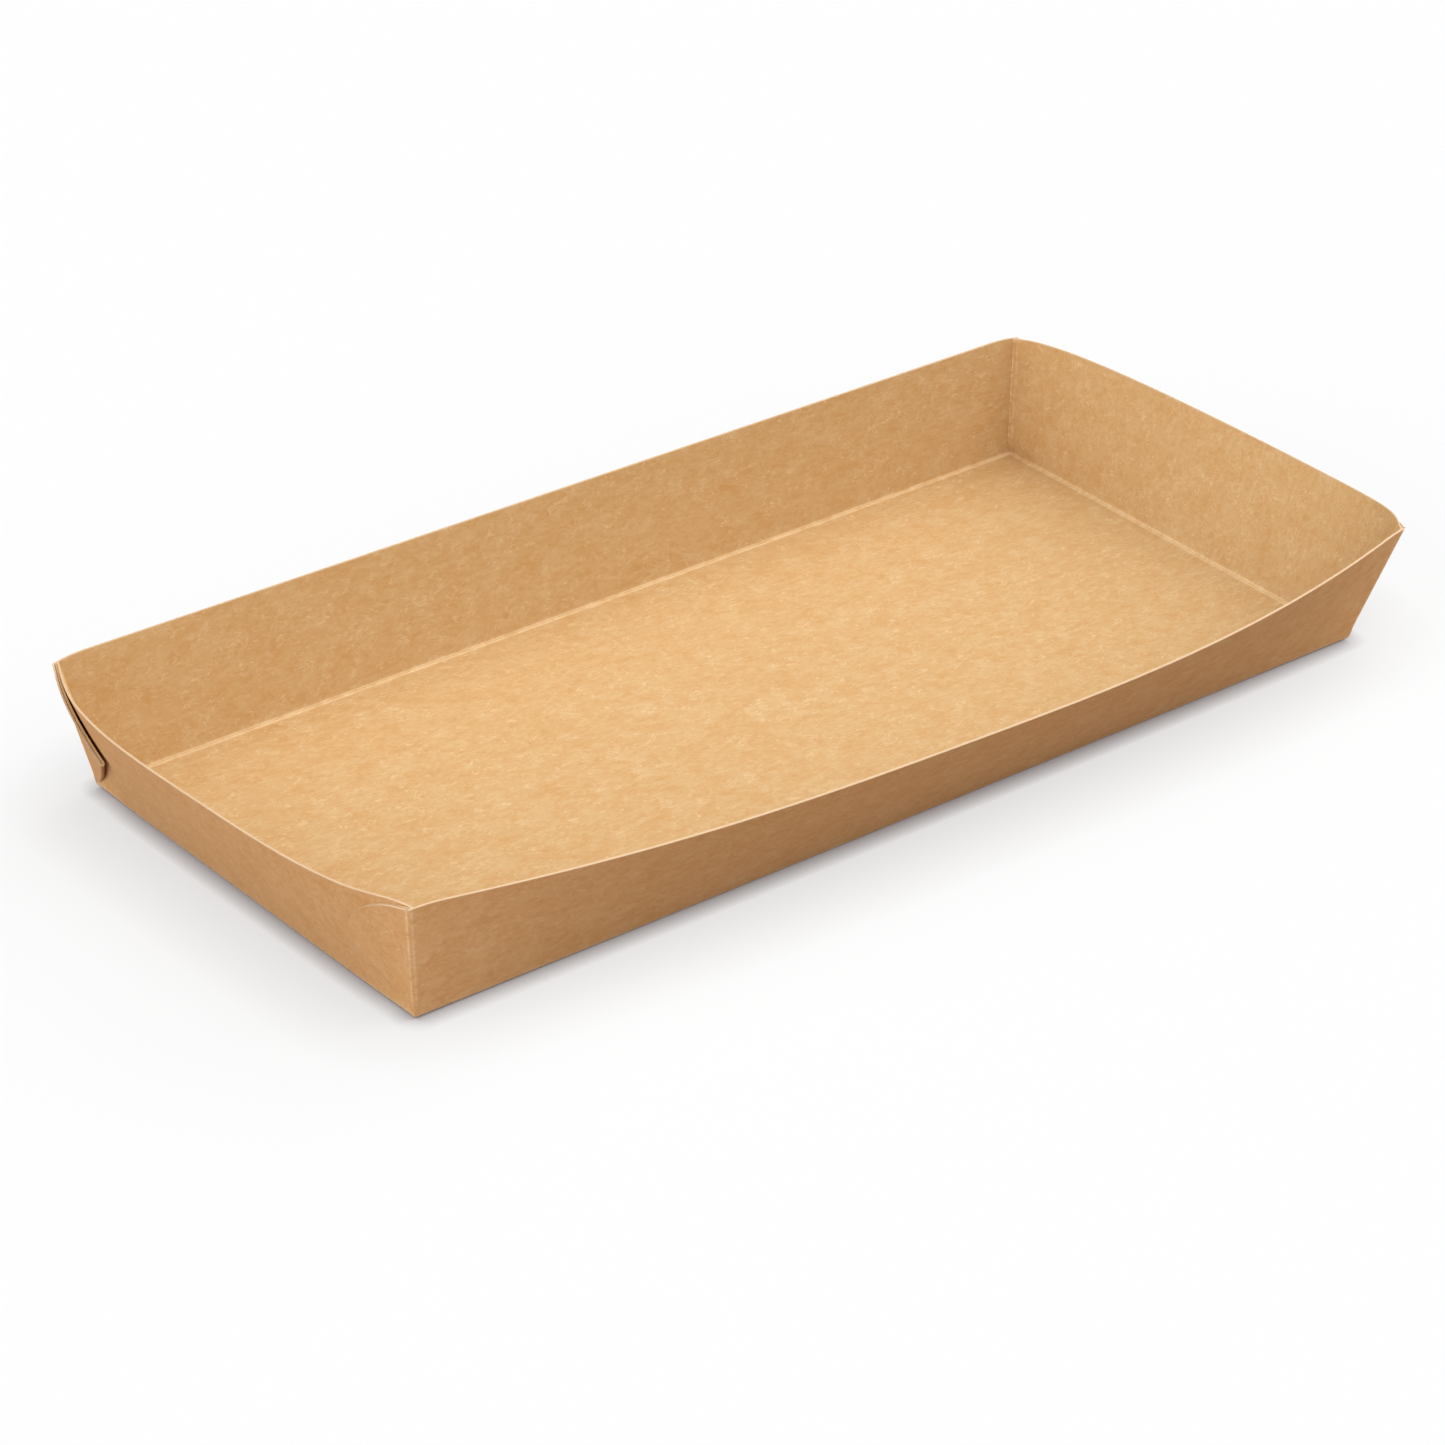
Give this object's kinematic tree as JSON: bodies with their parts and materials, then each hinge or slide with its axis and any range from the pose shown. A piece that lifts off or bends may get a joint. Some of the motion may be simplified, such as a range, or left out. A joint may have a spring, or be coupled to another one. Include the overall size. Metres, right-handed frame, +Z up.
{
  "type": "paper food tray",
  "caption": "Shallow rectangular takeaway tray folded from one kraft board blank, with bowed flared walls and glued web corners on its short ends.",
  "frame": {"origin": "centre of the base's underside, at the surface that the tray stands on", "axes": "+X along the long side, +Y across to the back wall, +Z up out of the tray's open top"},
  "size_m": [0.2558, 0.1222, 0.0272],
  "materials": {
    "kraft_board": "uncoated, matte"
  },
  "bodies": {
    "root": {"folded_tray": "kraft_board"}
  },
  "joints": []
}
